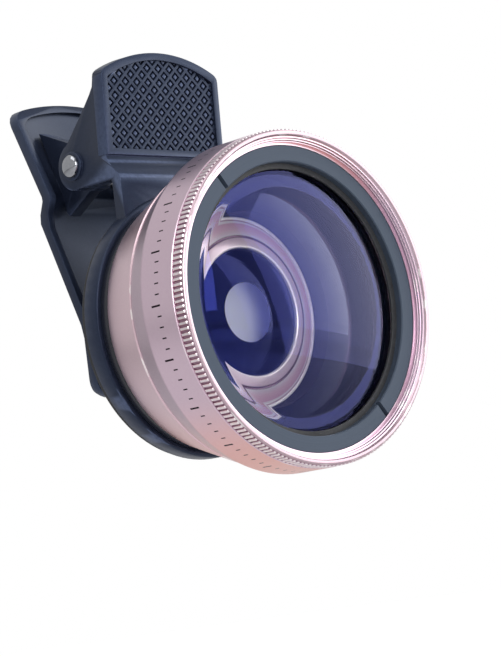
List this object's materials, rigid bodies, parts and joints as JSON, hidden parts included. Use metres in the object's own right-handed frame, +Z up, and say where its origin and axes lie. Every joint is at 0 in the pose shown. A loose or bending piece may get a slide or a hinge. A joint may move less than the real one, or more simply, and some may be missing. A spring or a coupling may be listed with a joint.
{
  "type": "clip-on phone lens",
  "caption": "Spring clip that holds a macro lens and a screw-on wide angle lens in front of a phone camera.",
  "frame": {"origin": "where the lens's optical axis meets the face of the clip's front pad that rests on the phone", "axes": "-Y along the optical axis, out of the front of the lens; +Y towards the phone; +Z up towards the clip's handles; +X along the hinge pin"},
  "size_m": [0.0524, 0.0542, 0.0713],
  "materials": {
    "black_plastic": "matte, fine grain",
    "smooth_black": "satin",
    "rubber": "matte",
    "rose_aluminium": "satin anodised",
    "slate_ring": "matte anodised",
    "black_ring": "matte black anodised",
    "glass": "polished, coated",
    "chrome": "polished",
    "spring_steel": "drawn wire"
  },
  "bodies": {
    "clip_front": {"front_jaw": "black_plastic", "thread_insert": "smooth_black", "front_pad": "rubber", "pivot_pin": "chrome", "pin_washer": "chrome", "torsion_spring": "spring_steel"},
    "clip_rear": {"rear_jaw": "black_plastic", "rear_pad": "rubber"},
    "macro_core": {"macro_glass": "glass", "macro_retaining_ring": "black_ring"},
    "macro_shell": {"macro_barrel": "rose_aluminium"},
    "wide_core": {"front_gasket": "rubber", "front_glass": "glass", "light_baffle": "black_ring", "rear_cell": "rose_aluminium", "rear_glass": "glass", "light_stop": "black_ring"},
    "wide_shell": {"wide_barrel": "rose_aluminium", "front_retaining_ring": "slate_ring"}
  },
  "joints": [
    {"name": "clip_hinge", "type": "hinge", "parent": "clip_front", "child": "clip_rear", "pos_m": [0, 0.0077, 0.028], "axis": [1, 0, 0], "range_deg": [-11, 30], "stiffness_Nm_per_rad": 0.12, "springref_deg": -68.75, "deforming": ["torsion_spring"]},
    {"name": "macro_slide", "type": "slide", "parent": "clip_front", "child": "macro_core", "axis": [0, -1, 0], "range_m": [0, 0.003]},
    {"name": "macro_turn", "type": "hinge", "parent": "macro_core", "child": "macro_shell", "pos_m": [0, -0.01, 0], "axis": [0, -1, 0], "range_deg": [0, 1445]},
    {"name": "wide_slide", "type": "slide", "parent": "macro_shell", "child": "wide_core", "axis": [0, -1, 0], "range_m": [0, 0.00375]},
    {"name": "wide_turn", "type": "hinge", "parent": "wide_core", "child": "wide_shell", "pos_m": [0, -0.02, 0], "axis": [0, -1, 0], "range_deg": [0, 1805]}
  ],
  "couplings": [
    {"joint": "macro_turn", "follows": "macro_slide", "rad_per_m": 8377.6},
    {"joint": "wide_turn", "follows": "wide_slide", "rad_per_m": 8377.6}
  ]
}
